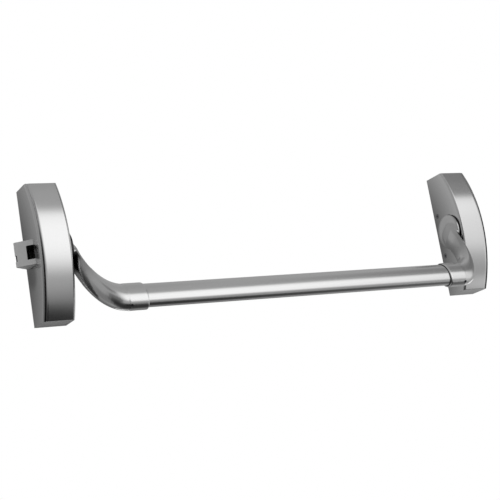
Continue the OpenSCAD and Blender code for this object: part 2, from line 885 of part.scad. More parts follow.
// Two-armed rocker, turned back by half its swing at rest
module rocker() {
    color(zinc) translate([rocker_x, -rocker_y, 0]) rotate([0, -rocker_swing / 2, 0]) difference() {
        union() {
            yrod(-rocker_t / 2, rocker_t / 2, rocker_hub_r);
            translate([rocker_in, 0, 0]) yrod(-rocker_t / 2, rocker_t / 2, rocker_tip_r);
            block([0, -rocker_t / 2, -rocker_tip_r], [rocker_in, rocker_t / 2, rocker_tip_r]);
            translate([0, 0, rocker_out]) yrod(-rocker_t / 2, rocker_t / 2, rocker_eye_r);
            block([-rocker_w / 2, -rocker_t / 2, 0], [rocker_w / 2, rocker_t / 2, rocker_out]);
        }
        yrod(-rocker_t, rocker_t, rocker_pin_d / 2 + run_gap);
        translate([0, 0, rocker_out]) yrod(-rocker_t, rocker_t, drive_pin_d / 2);
    }
}

module drive_pin() {
    color(steel) translate([rocker_x - latch_throw / 2, 0, drive_pin_z])
        yrod(-rocker_y - rocker_t / 2, -latch_front + lug_t - drive_pin_sink, drive_pin_d / 2);
}

// Forked bolt: bevelled head, two prongs past the axle, and a slotted lug for the drive pin
module latch_bolt() {
    lug_x = rocker_x - latch_throw / 2;
    slot_half = drive_pin_d / 2 + link_gap;
    color(zinc) difference() {
        union() {
            translate([0, 0, -latch_h / 2]) linear_extrude(height = latch_h) polygon([
                [tail_x, -latch_front], [-flank_x, -latch_front],
                [tip_x, -nose_depth - nose_flat / 2], [tip_x, -nose_depth + nose_flat / 2],
                [tip_x + back_bevel, -latch_back], [tail_x, -latch_back]]);
            block([lug_x - lug_half_w, -latch_front, prong_z],
                [lug_x + lug_half_w, -latch_front + lug_t, lug_top]);
        }
        block([window_x, -latch_front - eps, -window_h / 2],
            [tail_x + eps, -latch_back + eps, window_h / 2]);
        for (s = [-1, 1]) translate([0, -prong_y, s * prong_z])
            xrod(spring_x0, tail_x + eps, spring_bore_r);
        block([lug_x - slot_half, -latch_front - eps, drive_pin_z - slot_play],
            [lug_x + slot_half, -latch_front + lug_t + eps, rocker_out + slot_play]);
        for (z = [drive_pin_z - slot_play, rocker_out + slot_play])
            translate([lug_x, 0, z]) yrod(-latch_front - eps, -latch_front + lug_t + eps, slot_half);
        block([tip_x - eps, -nose_depth - notch_half_w, notch_z - notch_h / 2],
            [tip_x + notch_depth, -nose_depth + notch_half_w, notch_z + notch_h / 2]);
    }
}

latch_base_plate();
latch_housing();
latch_front_cover();
latch_chassis();
latch_bushes();
rocker_pin();
rocker_clip();
spring_guides();
latch_springs();
housing_screws();
chassis_screws();
idle_base_plate();
idle_housing();
idle_front_cover();
idle_chassis();
idle_bushes();
stop_buffer();
return_spring();
latch_arm();
idle_arm();
push_tube();
latch_sleeve();
idle_sleeve();
socket_screws();
latch_axle();
idle_axle();
axle_clips();
drive_crank();
crank_pin();
return_lever();
lever_pin();
rocker();
drive_pin();
latch_bolt();
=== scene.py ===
# %% [markdown]
# # A push bar for an emergency exit door
# Two bow-fronted cases are screwed to the inside of a door, one near each edge. A curved arm swings out of each
# case, and the two arms carry an oval tube across the door. Whoever leans on the tube swings the arms towards
# the door, and a small linkage in the left case then draws the latch in.
#
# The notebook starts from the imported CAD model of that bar. Its pieces arrive in their places, in metres, with
# X along the tube, Y into the door and Z up. Most of them stay as they are. The ones that catch the eye are
# modelled again here, with rounded edges that the light can run along, and so are two springs that have to
# change their length.

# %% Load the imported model
import json
from math import asin, atan2, cos, hypot, pi, radians, sin
import bmesh
import bpy
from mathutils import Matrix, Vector

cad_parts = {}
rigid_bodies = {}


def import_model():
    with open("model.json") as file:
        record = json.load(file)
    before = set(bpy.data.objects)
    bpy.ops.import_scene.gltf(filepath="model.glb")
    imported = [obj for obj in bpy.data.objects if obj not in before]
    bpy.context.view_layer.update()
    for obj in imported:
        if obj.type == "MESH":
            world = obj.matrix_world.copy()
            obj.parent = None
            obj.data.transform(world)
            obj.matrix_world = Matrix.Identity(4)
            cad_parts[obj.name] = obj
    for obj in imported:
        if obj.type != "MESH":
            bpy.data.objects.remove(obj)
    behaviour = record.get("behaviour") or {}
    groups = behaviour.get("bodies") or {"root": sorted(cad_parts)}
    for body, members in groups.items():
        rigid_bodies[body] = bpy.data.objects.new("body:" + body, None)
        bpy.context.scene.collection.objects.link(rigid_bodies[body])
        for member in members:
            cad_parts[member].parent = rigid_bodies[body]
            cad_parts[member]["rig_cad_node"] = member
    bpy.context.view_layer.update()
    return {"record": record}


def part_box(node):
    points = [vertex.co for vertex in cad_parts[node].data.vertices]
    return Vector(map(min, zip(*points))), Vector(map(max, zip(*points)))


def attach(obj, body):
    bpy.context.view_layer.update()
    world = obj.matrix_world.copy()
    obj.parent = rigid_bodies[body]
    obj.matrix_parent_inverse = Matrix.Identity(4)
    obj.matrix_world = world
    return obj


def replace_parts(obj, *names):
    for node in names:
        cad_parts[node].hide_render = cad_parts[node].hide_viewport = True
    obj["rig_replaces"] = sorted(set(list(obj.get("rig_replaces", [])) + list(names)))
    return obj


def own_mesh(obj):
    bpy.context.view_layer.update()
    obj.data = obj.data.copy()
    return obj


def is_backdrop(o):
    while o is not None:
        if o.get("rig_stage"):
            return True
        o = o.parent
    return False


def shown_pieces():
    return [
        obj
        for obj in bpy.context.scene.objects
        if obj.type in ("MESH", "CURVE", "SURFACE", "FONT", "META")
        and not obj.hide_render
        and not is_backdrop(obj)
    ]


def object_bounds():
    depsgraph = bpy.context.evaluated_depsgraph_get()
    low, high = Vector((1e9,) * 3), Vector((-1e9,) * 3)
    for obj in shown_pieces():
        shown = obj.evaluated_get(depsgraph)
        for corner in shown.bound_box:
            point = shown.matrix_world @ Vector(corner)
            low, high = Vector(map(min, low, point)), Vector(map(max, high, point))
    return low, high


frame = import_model()

# %% [markdown]
# ## Sizes of a case
# A new piece has to meet the CAD pieces that stay, so its sizes come from their boxes where a box can tell.
# The front of a case is one long arc, like a slice of a very large wheel. Three points give that wheel: the
# two ends of the case and its middle, which stands furthest into the room.

# %% Work out the bow of the case fronts
MM = 0.001
low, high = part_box("latch_housing")
half_w, half_h, mid_depth = high.x, high.z, -low.y
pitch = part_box("idle_housing")[1].x - half_w
end_depth = 39.5 * MM
bow_rise = mid_depth - end_depth
bow_r = (half_h ** 2 + bow_rise ** 2) / (2 * bow_rise)
bow_y = bow_r - mid_depth
print(f"bow radius {bow_r / MM:.1f} mm, cases {pitch / MM:.0f} mm apart")

# %% [markdown]
# ## A few helpers
# Modelling by hand goes in short rounds: add a simple shape, step into edit mode, select what should change,
# and change it. An operator acts on whatever is selected, so each helper first says which piece is meant. The
# place and the scale of a new shape go into its mesh at once, so that every object stays at the origin, as the
# CAD pieces do.

# %% Add a shape, step into edit mode and out of it
def begin(name, primitive, scale=(1, 1, 1), **settings):
    """Adds a primitive as a new object and moves its placing and scale into its mesh."""
    bpy.ops.object.select_all(action="DESELECT")
    primitive(**settings)
    made = bpy.context.object
    made.name = made.data.name = name
    made.scale = scale
    bpy.ops.object.transform_apply(location=True, rotation=True, scale=True)
    return made


def focus(piece):
    """Selects one piece and nothing else."""
    bpy.ops.object.select_all(action="DESELECT")
    piece.select_set(True)
    bpy.context.view_layer.objects.active = piece


def edit(piece):
    """Steps into edit mode on one piece."""
    focus(piece)
    bpy.ops.object.mode_set(mode="EDIT")


def done():
    """Steps out of edit mode."""
    bpy.ops.object.mode_set(mode="OBJECT")


# %% [markdown]
# In a script the mouse is missing, so a selection has to be described instead. The `pick` helper selects every
# vertex, edge or face that passes a test, for instance all edges on one plane. Two more helpers work on the
# whole mesh: one slices off what lies beyond a plane, and the other turns all faces outwards.

# %% Select, slice, and turn faces outwards
def pick(kind, test):
    """Selects the vertices, edges or faces that pass a test, and counts them."""
    bpy.ops.mesh.select_mode(type=kind)
    bpy.ops.mesh.select_all(action="DESELECT")
    mesh = bmesh.from_edit_mesh(bpy.context.object.data)
    items = {"VERT": mesh.verts, "EDGE": mesh.edges, "FACE": mesh.faces}[kind]
    found = [item for item in items if test(item)]
    for item in found:
        item.select_set(True)
    mesh.select_flush_mode()
    bmesh.update_edit_mesh(bpy.context.object.data)
    return len(found)


def slice_off(point, normal):
    """Slices off what lies beyond a plane, on its normal's side, and closes the wound with a face."""
    bpy.ops.mesh.select_all(action="SELECT")
    bpy.ops.mesh.bisect(plane_co=point, plane_no=Vector(normal).normalized(), use_fill=True, clear_outer=True,
                        threshold=1e-7)


def face_outwards():
    """Turns all faces of the mesh outwards."""
    bpy.ops.mesh.select_all(action="SELECT")
    bpy.ops.mesh.normals_make_consistent(inside=False)


# %% [markdown]
# A modifier is used here like a hand tool: it is added, set and applied at once. The Boolean modifier does the
# cutting, with its exact solver, which leaves clean edges. The usual cutters are boxes and round bars along X.

# %% Modify, cut, and make plain cutters
def modify(piece, kind, **settings):
    """Adds a modifier, sets it and applies it."""
    bpy.context.view_layer.objects.active = piece
    modifier = piece.modifiers.new(kind, kind)
    for key, value in settings.items():
        setattr(modifier, key, value)
    bpy.ops.object.modifier_apply(modifier=modifier.name)


def cut(piece, tool, operation="DIFFERENCE"):
    """Cuts a tool out of a piece, or joins it on, and throws the tool away."""
    modify(piece, "BOOLEAN", object=tool, operation=operation, solver="EXACT")
    bpy.data.objects.remove(tool, do_unlink=True)


def block(name, a, b):
    """A box between two corners."""
    return begin(name, bpy.ops.mesh.primitive_cube_add, size=1,
                 location=[(p + q) / 2 for p, q in zip(a, b)], scale=[abs(q - p) for p, q in zip(a, b)])


def rod(name, x0, x1, y, z, radius, sides=96):
    """A round bar along X."""
    return begin(name, bpy.ops.mesh.primitive_cylinder_add, vertices=sides, radius=radius, depth=x1 - x0,
                 location=((x0 + x1) / 2, y, z), rotation=(0, pi / 2, 0))


# %% [markdown]
# ## The block of a housing
# On the real bar each housing is a shallow metal box whose front follows the bow. The quickest way to a true
# arc is to start from the whole wheel, a wide cylinder lying on its side, and to slice off everything that is
# not case: above, below, and behind the door's face.

# %% Slice a bowed block out of a wheel
wheel_sides = 360


def bowed_block(name):
    """The part of the bow's wheel that lies in front of the door, between the two ends of a case."""
    made = rod(name, -half_w, half_w, bow_y, 0, bow_r, wheel_sides)
    edit(made)
    slice_off((0, 0, half_h), (0, 0, 1))
    slice_off((0, 0, -half_h), (0, 0, -1))
    slice_off((0, 0, 0), (0, 1, 0))
    done()
    return made


# %% [markdown]
# ## Housings
# The light that runs down the outer side of a case comes from a rounded rim, where the flank turns into the
# front. On the inner side, next to the arm, the rim is a little finer. We bevel those two arcs first, while the
# block is still simple.

# %% Round the rims of a housing
outer_round, inner_round, round_steps = 4.5 * MM, 3.5 * MM, 10
tiny = 0.02 * MM


def on_rim(edge, x):
    """True for an edge of the bowed arc on the flank at x."""
    return all(abs(v.co.x - x) < tiny and abs(hypot(v.co.y - bow_y, v.co.z) - bow_r) < tiny
               for v in edge.verts)


def housing_block(name):
    """A bowed block with rounded rims."""
    made = bowed_block(name)
    edit(made)
    for x, size in ((-half_w, outer_round), (half_w, inner_round)):
        rims = pick("EDGE", lambda edge: on_rim(edge, x))
        bpy.ops.mesh.bevel(offset=size, segments=round_steps, profile=0.5, affect="EDGES", clamp_overlap=False)
        print(name, "has", rims, "rim edges at x", round(x / MM, 2))
    done()
    return made


# %% [markdown]
# After that come the openings. One box cuts the inside away from front to back, so that four walls are left.
# The front cover lies in a bed, a long step that follows the bow. Its cutter is therefore a box out of which a
# slightly smaller wheel was cut. Every cutter runs a little past the surface, so that no skin is left.

# %% Open up a housing
over = 1 * MM
wall = 3.5 * MM
inner_x, inner_h = half_w - wall, half_h - wall
cover_inset, cover_t = 0.3 * MM, 2 * MM
cover_r = bow_r - cover_inset
seat_r = cover_r - cover_t
outer_lip, inner_lip = 2.4 * MM, 2.9 * MM
bed_x0, bed_x1 = -half_w + outer_lip, half_w - inner_lip


def hollow(housing):
    """Cuts the inside of a case and the bed of its front cover."""
    cut(housing, block("inside", (-inner_x, -mid_depth - over, -inner_h), (inner_x, over, inner_h)))
    bed = block("bed", (bed_x0, -mid_depth - over, -half_h - over), (bed_x1, 0, half_h + over))
    cut(bed, rod("wheel", -1.5 * half_w, 1.5 * half_w, bow_y, 0, seat_r, wheel_sides))
    cut(housing, bed)
    print(housing.name, "hollowed:", len(housing.data.polygons), "faces")


# %% [markdown]
# ## Pivot and screws
# Each arm turns on an axle behind its hub. The hub is a flat disc that sits two millimetres deep in a round
# recess, so that no finger or sleeve is caught between arm and case. Two countersunk screws beside it hold the
# housing to a plate on the door. All of these are cut with plain cylinders and cones along X.

# %% Cut the recess, the axle hole and the screw seats
hub_depth, hub_r, hub_gap = 34.5 * MM, 26.8 * MM, 0.9 * MM
recess, axle_hole_r = 2 * MM, 6.9 * MM
screw_y, screw_z, screw_hole_r = -9.3 * MM, 33 * MM, 2.2 * MM
sink_r0, sink_r1, sink_depth = 2.1 * MM, 4.1 * MM, 2 * MM
sink_x = half_w - 0.9 * MM
hub_sides, sink_sides, hole_sides = 180, 64, 48


def bore(housing):
    """Cuts everything round that goes into the inner flank."""
    cut(housing, rod("recess", half_w - recess, half_w + over, -hub_depth, 0, hub_r + hub_gap, hub_sides))
    cut(housing, rod("axle_hole", inner_x - over, half_w, -hub_depth, 0, axle_hole_r))
    for z in (-screw_z, screw_z):
        cut(housing, rod("screw_hole", inner_x - over, half_w, screw_y, z, screw_hole_r, hole_sides))
        cut(housing, begin("screw_seat", bpy.ops.mesh.primitive_cone_add, vertices=sink_sides, radius1=sink_r0,
                           radius2=sink_r1, depth=sink_depth, location=(sink_x, screw_y, z),
                           rotation=(0, pi / 2, 0)))
    print(housing.name, "bored:", len(housing.data.polygons), "faces")


# %% [markdown]
# The inner flank is a plate of its own, and its joint shows as a hairline on the end faces of the case. A line
# could be painted on, but a real slot looks right from every side, so two narrow boxes are cut.

# %% Add the hairline joints
slot_x0, slot_x1, slot_depth = inner_x + 0.3 * MM, inner_x + 0.7 * MM, 0.6 * MM


def joints(housing):
    """Cuts a hairline slot beside the inner flank plate, at the top and at the bottom."""
    for z in (-half_h, half_h):
        cut(housing, block("slot", (slot_x0, -mid_depth, z - slot_depth), (slot_x1, over, z + slot_depth)))
    print(housing.name, "slotted:", len(housing.data.polygons), "faces")


# %% [markdown]
# A last small bevel breaks every edge that is still sharp, because no real edge is perfectly sharp, and weighted
# normals keep the flat faces flat in the shading. Cuts can leave points almost on top of each other, which would
# stop the bevel or leave faces without area, so such points are merged first.

# %% Heal a mesh and break its edges
merge_gap = 0.03 * MM


def heal(piece, gap=merge_gap):
    """Merges points that lie almost on top of each other and drops faces without area."""
    edit(piece)
    bpy.ops.mesh.select_all(action="SELECT")
    bpy.ops.mesh.remove_doubles(threshold=gap)
    bpy.ops.mesh.dissolve_degenerate(threshold=gap)
    face_outwards()
    done()


def finish_edges(piece, width, angle=35, gap=merge_gap):
    """Breaks the sharp edges of a piece and shades it."""
    heal(piece, gap)
    modify(piece, "BEVEL", width=width, segments=2, limit_method="ANGLE", angle_limit=radians(angle),
           use_clamp_overlap=False)
    bpy.ops.object.shade_smooth_by_angle(angle=radians(angle))
    modify(piece, "WEIGHTED_NORMAL", keep_sharp=True)


# %% [markdown]
# The two cases mirror each other, apart from one thing: only the latch case has a window in its outer flank,
# where the bolt comes out. So both housings are made in the latch case's place. One of them gets the window, a
# little larger than the bolt, and the other one is mirrored over to the idle end.

# %% Build both housings
bolt_y0, bolt_y1, bolt_h, bolt_gap = -41.8 * MM, -11 * MM, 17.2 * MM, 0.4 * MM
edge_r = 0.15 * MM


def make_housing(name):
    """A housing in the latch case's place, without its window."""
    made = housing_block(name)
    hollow(made)
    bore(made)
    joints(made)
    return made


def to_idle_side(piece):
    """Mirrors a piece from the latch side to the idle side."""
    focus(piece)
    piece.scale.x, piece.location.x = -1, pitch
    bpy.ops.object.transform_apply(location=True, rotation=True, scale=True)


latch_housing = make_housing("latch_housing_shown")
cut(latch_housing, block("window", (-half_w - over, bolt_y0 - bolt_gap, -bolt_h - bolt_gap),
                         (-inner_x + over, bolt_y1 + bolt_gap, bolt_h + bolt_gap)))
idle_housing = make_housing("idle_housing_shown")
to_idle_side(idle_housing)
for housing in (latch_housing, idle_housing):
    finish_edges(housing, edge_r)
print("housings:", len(latch_housing.data.polygons), "and", len(idle_housing.data.polygons), "faces")

# %% [markdown]
# ## Front covers
# A bowed strip of satin metal closes the front of each case. It fits closely on the arm's side and leaves a thin
# groove on the outer side, where its long edge is rolled over, wide and shallow. A spin suits it: we draw the
# strip's cross-section once, as a flat plane, and swing it round the bow's axis. A bevel makes round corners, so
# the plane is drawn too thick and squeezed afterwards, which turns the round corners into shallow ones. What
# runs past the ends is sliced off.

# %% Spin the cross-section of a front cover
groove, inner_gap = 0.5 * MM, 0.15 * MM
cover_x0, cover_x1 = bed_x0 + groove, bed_x1 - inner_gap
outer_roll, inner_roll, squeeze = 4.5 * MM, 0.4 * MM, 0.4
overrun, spin_steps = radians(1), 72


def make_cover(name):
    """A bowed strip in the latch case's place."""
    start = asin(half_h / seat_r) + overrun
    middle_y = bow_y - (cover_r + seat_r) / 2
    made = begin(name, bpy.ops.mesh.primitive_plane_add, size=1,
                 location=((cover_x0 + cover_x1) / 2, middle_y, 0),
                 scale=(cover_x1 - cover_x0, (cover_r - seat_r) / squeeze, 1))
    edit(made)
    for x, roll_w in ((cover_x0, outer_roll), (cover_x1, inner_roll)):
        pick("VERT", lambda v: v.co.y < middle_y and abs(v.co.x - x) < tiny)
        bpy.ops.mesh.bevel(offset=roll_w, segments=round_steps, affect="VERTICES", clamp_overlap=False)
    bpy.ops.mesh.select_all(action="SELECT")
    bpy.ops.transform.resize(value=(1, squeeze, 1), center_override=(0, middle_y, 0))
    bpy.ops.transform.rotate(value=start, orient_axis="X", center_override=(0, bow_y, 0))
    bpy.ops.mesh.spin(steps=spin_steps, angle=-2 * start, center=(0, bow_y, 0), axis=(1, 0, 0))
    for end in (-1, 1):
        slice_off((0, 0, end * half_h), (0, 0, end))
    bpy.ops.mesh.select_all(action="SELECT")
    bpy.ops.mesh.remove_doubles(threshold=1e-6)
    face_outwards()
    done()
    return made


# %% [markdown]
# As with the housings, both covers are made on the latch side, and one is mirrored. The bevel only breaks their
# truly sharp edges, at the ends and at the back, and leaves the rolled ones alone. The points of the narrow roll
# lie so close together that a cover is healed with a much smaller gap than a piece with cuts.

# %% Build both front covers
cover_edge_r, cover_edge_angle, cover_gap = 0.3 * MM, 50, 0.001 * MM


def in_mm(sizes):
    """Sizes in millimetres, for printing."""
    return [round(size / MM, 1) for size in sizes]


latch_cover = make_cover("latch_front_cover_shown")
idle_cover = make_cover("idle_front_cover_shown")
to_idle_side(idle_cover)
for cover in (latch_cover, idle_cover):
    finish_edges(cover, cover_edge_r, cover_edge_angle, cover_gap)
print("covers:", in_mm(latch_cover.dimensions), "mm,", len(latch_cover.data.polygons), "faces each")

# %% [markdown]
# ## The push tube
# The tube's oval is drawn with a compass: two small arcs for its narrow ends and two large ones for its sides,
# meeting without a kink. In Blender a single vertex does the same. Each spin swings it round the next centre
# and leaves a trail of edges, and after four spins the trail closes. The centres of the ends lie `end_c` from
# the middle, and those of the sides lie `side_c` from it.
#
# The tube and the arms are modelled lying level, with the pivot at the origin and the arm pointing towards -Y.
# Only when they are done are they tilted down by the arm's angle and moved out to the pivot axis.

# %% Draw an oval with four spins
arm_drop, arm_reach = radians(52.3), 104.9 * MM
end_r, end_c, side_c = 9 * MM, 11 * MM, 15.536 * MM
end_turn = 2 * atan2(side_c, end_c)
end_steps, side_steps = 24, 20


def oval_bar(name, x0, x1, grow, reach):
    """A solid bar along X with the tube's oval outline, grown by a little."""
    made = begin(name, bpy.ops.mesh.primitive_plane_add, size=MM)
    edit(made)
    bpy.ops.mesh.select_all(action="SELECT")
    bpy.ops.mesh.merge(type="CENTER")
    r = end_r + grow
    bpy.ops.transform.translate(value=(x0, end_c + r * cos(end_turn / 2) - reach, -r * sin(end_turn / 2)))
    for y, z, turn, steps in ((end_c, 0, end_turn, end_steps), (0, -side_c, pi - end_turn, side_steps),
                              (-end_c, 0, end_turn, end_steps), (0, side_c, pi - end_turn, side_steps)):
        bpy.ops.mesh.spin(steps=steps, angle=-turn, center=(x0, y - reach, z), axis=(1, 0, 0))
    bpy.ops.mesh.select_all(action="SELECT")
    bpy.ops.mesh.remove_doubles(threshold=1e-6)
    bpy.ops.mesh.edge_face_add()
    bpy.ops.mesh.extrude_region_move(TRANSFORM_OT_translate={"value": (x1 - x0, 0, 0)})
    face_outwards()
    done()
    return made


# %% [markdown]
# The tube is hollow, with a thin wall. A solid oval bar with a smaller one cut out of it gives that wall at once,
# open at both ends. The ends are hidden in the sockets of the arms.

# %% Make the push tube
tube_x0, tube_wall, tube_angle = 66 * MM, 1.5 * MM, 35


def set_on_pivot(piece):
    """Tilts a piece down by the arm's angle and moves it out to the pivot axis."""
    focus(piece)
    piece.rotation_euler.x, piece.location.y = arm_drop, -hub_depth
    bpy.ops.object.transform_apply(location=True, rotation=True, scale=True)


push_tube = oval_bar("push_tube_shown", tube_x0, pitch - tube_x0, 0, arm_reach)
cut(push_tube, oval_bar("tube_bore", tube_x0 - over, pitch - tube_x0 + over, -tube_wall, arm_reach))
set_on_pivot(push_tube)
bpy.ops.object.shade_smooth_by_angle(angle=radians(tube_angle))
print("tube:", in_mm(push_tube.dimensions), "mm")

# %% [markdown]
# ## The arms
# An arm is one casting: a flat hub, a blade that sweeps out of it, and a socket for the tube. The blade is drawn
# as a row of oval rings between two curves, one for its inner edge and one for its outer edge. A curve is given
# by its start, two pulls and its end, each as a reach from the pivot and an X, in millimetres. Both curves leave
# the hub level and arrive in the socket along the tube.

# %% Draw the rings of a blade
inner_edge = [Vector(p) * MM for p in ((12.3, 35.8), (78.3, 35.8), (83.4, 65.5), (83.4, 74))]
outer_edge = [Vector(p) * MM for p in ((12.3, 25.2), (107.3, 25.2), (127.8, 53), (127.8, 74))]
ring_sides = 48


def bezier(p, t):
    """A point of a curve with two pulls."""
    s = 1 - t
    return s ** 3 * p[0] + 3 * s * s * t * p[1] + 3 * s * t * t * p[2] + t ** 3 * p[3]


def add_ring(inner, outer, width):
    """Adds an oval ring across the arm, between two points that are given as reach and X."""
    middle, half = (inner + outer) / 2, (outer - inner) / 2
    bpy.ops.mesh.primitive_circle_add(vertices=ring_sides, radius=half.length, location=(middle.y, -middle.x, 0),
                                      rotation=(pi / 2, 0, atan2(-half.x, half.y)))
    bpy.ops.transform.resize(value=(1, 1, width / half.length), center_override=(0, 0, 0))


# %% [markdown]
# Bridging each ring to the next gives the skin. The first ring lies inside the hub, so that the blade has a
# root. From there the blade gets narrower, quickly at first and then slowly, and its outer edge lags behind the
# inner one, which fans the rings out round the bend.

# %% Bridge the rings to a blade
root_inner, root_outer = Vector((-12, 26.7)) * MM, Vector((-12, 21.7)) * MM
root_w, end_w = 17.8 * MM, 14.7 * MM
ring_count, narrowing, lag = 28, 0.42, 1.6


def blade(name):
    """The blade of an arm, from inside the hub to the socket."""
    made = begin(name, bpy.ops.mesh.primitive_plane_add, size=MM)
    edit(made)
    bpy.ops.mesh.select_all(action="SELECT")
    bpy.ops.mesh.delete(type="VERT")
    add_ring(root_inner, root_outer, root_w)
    for i in range(ring_count):
        t = i / (ring_count - 1)
        share = (t * t * (3 - 2 * t)) ** narrowing
        add_ring(bezier(inner_edge, t), bezier(outer_edge, t ** lag), root_w + (end_w - root_w) * share)
    for i in range(ring_count):
        pick("VERT", lambda v: v.index // ring_sides in (i, i + 1))
        bpy.ops.mesh.bridge_edge_loops()
    for i in (0, ring_count):
        pick("VERT", lambda v: v.index // ring_sides == i)
        bpy.ops.mesh.edge_face_add()
    face_outwards()
    done()
    print(name, "has a blade of", len(made.data.polygons), "faces")
    return made


# %% [markdown]
# A casting has no sharp inner corners: the molten metal would crack there. So hub, blade and socket are first
# melted into one skin with a voxel remesh, and the skin is smoothed, most of all where the blade leaves the hub.
# The machined parts, which do have crisp edges, are cut afterwards.

# %% Melt hub, blade and socket into one casting
hub_x0, hub_x1 = 21.15 * MM, 27.25 * MM
socket_x0, socket_x1 = 73 * MM, 100 * MM
socket_grow, socket_shift = 2.5 * MM, 0.7 * MM
voxel = 0.9 * MM
skin_rounds, root_rounds = 5, 30
root_x0, root_reach = hub_x1 - 0.4 * MM, 58 * MM


def casting(name):
    """An arm as it comes out of the mould."""
    made = blade(name)
    cut(made, rod("hub", hub_x0, hub_x1, 0, 0, hub_r, hub_sides), "UNION")
    cut(made, oval_bar("socket", socket_x0, socket_x1, socket_grow, arm_reach + socket_shift), "UNION")
    modify(made, "REMESH", mode="VOXEL", voxel_size=voxel)
    modify(made, "SMOOTH", factor=0.5, iterations=skin_rounds)
    edit(made)
    root = pick("VERT", lambda v: v.co.x > root_x0 and v.co.y > -root_reach)
    bpy.ops.mesh.vertices_smooth(factor=0.5, repeat=root_rounds)
    done()
    print(name, "is cast:", len(made.data.vertices), "points,", root, "of them at the root")
    return made


# %% [markdown]
# The socket is bored for the tube and for a thin plastic sleeve around it, and the hub for the end of the axle.
# A small screw at the narrow end of the oval, turned a little towards the room, clamps the tube.

# %% Cut the socket, the axle seat and the grub screw's hole
sleeve_t = 1 * MM
axle_x1, axle_r = 25.25 * MM, 6.05 * MM
grub_x, grub_r, grub_depth, grub_out = 75 * MM, 2.5 * MM, 8 * MM, 12.5 * MM
grub_turn = radians(15)
smooth_angle = radians(40)


def make_arm(name):
    """A finished arm in the latch side's place."""
    made = casting(name)
    cut(made, oval_bar("socket_bore", tube_x0, socket_x1 + over, sleeve_t, arm_reach))
    cut(made, rod("axle_seat", hub_x0 - over, axle_x1, 0, 0, axle_r))
    grub_y, grub_z = -arm_reach - end_c - grub_out * cos(grub_turn), grub_out * sin(grub_turn)
    cut(made, begin("grub_hole", bpy.ops.mesh.primitive_cylinder_add, vertices=hole_sides, radius=grub_r,
                    depth=grub_depth, location=(grub_x, grub_y, grub_z), rotation=(pi / 2 - grub_turn, 0, 0)))
    set_on_pivot(made)
    return made


# %% [markdown]
# The right arm is the mirror image of the left one. Where a cut runs along the mesh of the casting, it leaves
# points in the middle of an edge, with one face on each side and no other edge. They serve no purpose and give
# slivers when the faces are split into triangles, so they are dissolved.

# %% Build both arms
def drop_spare_points(piece):
    """Dissolves the points that join only two edges, and counts them."""
    edit(piece)
    spare = pick("VERT", lambda v: len(v.link_edges) == 2)
    if spare:
        bpy.ops.mesh.dissolve_verts()
    done()
    return spare


latch_arm = make_arm("latch_arm_shown")
idle_arm = make_arm("idle_arm_shown")
to_idle_side(idle_arm)
for arm in (latch_arm, idle_arm):
    heal(arm)
    print(arm.name, "had", drop_spare_points(arm), "spare points")
    bpy.ops.object.shade_smooth_by_angle(angle=smooth_angle)
print("arms:", len(latch_arm.data.polygons), "and", len(idle_arm.data.polygons), "faces")

# %% [markdown]
# ## The latch bolt
# The bolt is a sintered steel block with a long slope in front, which lets the door slam shut, and a shorter one
# behind. We slice both slopes off a box. A lug on its top has a slot for the pin that draws the bolt in.

# %% Shape the nose and the lug of the bolt
tip_x, tail_x, nose_y, front_y = -44.75 * MM, -9 * MM, -24.5 * MM, -43 * MM
front_slope, back_slope = (-15.3, -22, 0), (-13.5, 19.28, 0)
latch_bolt = block("latch_bolt_shown", (tip_x, bolt_y0, -bolt_h), (tail_x, bolt_y1, bolt_h))
edit(latch_bolt)
slice_off((-half_w, bolt_y0, 0), front_slope)
slice_off((tip_x, nose_y, 0), back_slope)
done()
lug_x, lug_half, lug_y1, lug_z0, lug_z1 = -13.625 * MM, 5 * MM, -33.8 * MM, 13.4 * MM, 30.65 * MM
cut(latch_bolt, block("lug", (lug_x - lug_half, bolt_y0, lug_z0), (lug_x + lug_half, lug_y1, lug_z1)), "UNION")
pin_half, pin_y1, pin_z0, pin_z1 = 2.9 * MM, -33 * MM, 18.2 * MM, 28.5 * MM
cut(latch_bolt, block("lug_slot", (lug_x - pin_half, front_y, pin_z0), (lug_x + pin_half, pin_y1, pin_z1)))
print("bolt with its lug:", in_mm(latch_bolt.dimensions), "mm")

# %% [markdown]
# The bolt's rear is forked, so that it can slide past the axle, and the end of the fork shows as a window outside
# the case. There is a small notch in its nose, and two bores in its tail hold the springs. Boxes and round bars
# cut all of these.

# %% Cut the fork, the notch and the spring bores
fork_x0, fork_h = -31.35 * MM, 9.6 * MM
tip = Vector((tip_x, 0, 0))
notch_low, notch_high = tip + Vector((-1, -27.5, -9.5)) * MM, tip + Vector((1.6, -23.5, -1.5)) * MM
spring_x0, spring_y, spring_z, spring_bore_r = -27 * MM, -26.4 * MM, 13.4 * MM, 2.7 * MM
bolt_edge_r, bolt_edge_angle = 0.3 * MM, 30
cut(latch_bolt, block("fork", (fork_x0, front_y, -fork_h), (tail_x + over, bolt_y1 + over, fork_h)))
cut(latch_bolt, block("notch", notch_low, notch_high))
for z in (-spring_z, spring_z):
    cut(latch_bolt, rod("spring_bore", spring_x0, tail_x + over, spring_y, z, spring_bore_r, hole_sides))
finish_edges(latch_bolt, bolt_edge_r, bolt_edge_angle)
print("bolt:", in_mm(latch_bolt.dimensions), "mm,", len(latch_bolt.data.polygons), "faces")

# %% [markdown]
# ## The bolt springs
# Two coil springs push the bolt out again. They are modelled here because they have to shorten when the bolt
# comes in, and the CAD springs cannot. A coil is a small circle that travels round an axis and along it at the
# same time, which is what the Screw modifier does. It works about the object's own axis, so the coil is made
# there, closed at its ends, moved into one of the bolt's bores and copied into the other.

